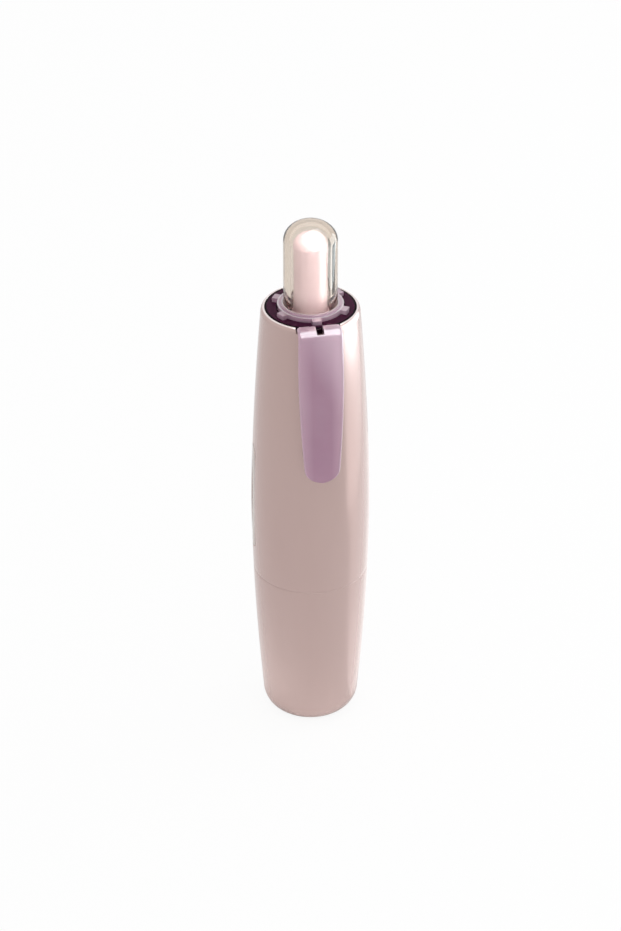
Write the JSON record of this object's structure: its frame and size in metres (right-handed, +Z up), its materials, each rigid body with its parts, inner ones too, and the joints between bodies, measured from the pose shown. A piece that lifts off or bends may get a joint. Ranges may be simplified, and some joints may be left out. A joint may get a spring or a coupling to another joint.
{
  "type": "tape runner",
  "caption": "Pen-shaped glue tape runner with a push button, pocket clip, side windows and a spring-loaded geared tape cartridge behind a retractable tip.",
  "frame": {"origin": "middle of the bounding box on the flat rest face of the nose, on the surface that the part stands on", "axes": "+Z up along the barrel towards the push button; the pocket clip faces -Y; +X is to the right for someone who faces the clip"},
  "size_m": [0.0264, 0.0288, 0.1232],
  "materials": {
    "pearl_shell": "satin pearl lilac-pink",
    "dark_collar": "deep purple, polished, barely see-through",
    "lilac_clear": "clear lilac, polished",
    "clear_plastic": "clear, polished",
    "pearl_core": "pearl pinkish white",
    "white_plastic": "plain moulded white",
    "lilac_plastic": "plain moulded lilac",
    "clutch_rubber": "plain",
    "paper_tape": "smooth release liner",
    "spring_steel": "drawn wire"
  },
  "bodies": {
    "shell": {"barrel": "pearl_shell", "nose_sleeve": "pearl_shell", "collar": "dark_collar", "window_left": "clear_plastic", "window_right": "clear_plastic", "return_spring": "spring_steel"},
    "clip": {"pocket_clip": "lilac_clear"},
    "button": {"plunger": "lilac_clear", "button_core": "pearl_core", "button_dome": "clear_plastic"},
    "cartridge": {"cam_rotor": "white_plastic", "push_stem": "white_plastic", "cartridge_frame": "white_plastic", "cartridge_cover": "white_plastic", "applicator_head": "lilac_plastic", "tape_run": "paper_tape"},
    "supply_drive": {"supply_gear": "lilac_plastic"},
    "supply_spool": {"clutch_ring": "clutch_rubber", "supply_core": "lilac_plastic", "tape_roll": "paper_tape"},
    "takeup": {"takeup_spool": "lilac_plastic", "takeup_roll": "paper_tape"}
  },
  "joints": [
    {"name": "clip_flex", "type": "hinge", "parent": "shell", "child": "clip", "pos_m": [0, -0.00928, 0.1028], "axis": [-1, 0, 0], "range_deg": [0, 5], "stiffness_Nm_per_rad": 1.5},
    {"name": "cartridge_slide", "type": "slide", "parent": "shell", "child": "cartridge", "axis": [0, 0, -1], "range_m": [0, 0.013], "stiffness_N_per_m": 200, "springref_m": -0.0075, "deforming": ["return_spring"]},
    {"name": "button_press", "type": "slide", "parent": "shell", "child": "button", "axis": [0, 0, -1], "range_m": [0, 0.013]},
    {"name": "supply_spin", "type": "hinge", "parent": "cartridge", "child": "supply_drive", "pos_m": [0, 0.00133, 0.0581], "axis": [1, 0, 0], "continuous": true},
    {"name": "takeup_spin", "type": "hinge", "parent": "cartridge", "child": "takeup", "pos_m": [0, 0.00133, 0.0446], "axis": [1, 0, 0], "continuous": true},
    {"name": "core_slip", "type": "hinge", "parent": "supply_drive", "child": "supply_spool", "pos_m": [0, 0.00133, 0.0581], "axis": [1, 0, 0], "continuous": true}
  ],
  "couplings": [
    {"joint": "button_press", "follows": "cartridge_slide", "ratio": 1},
    {"joint": "takeup_spin", "follows": "supply_spin", "ratio": -2}
  ]
}
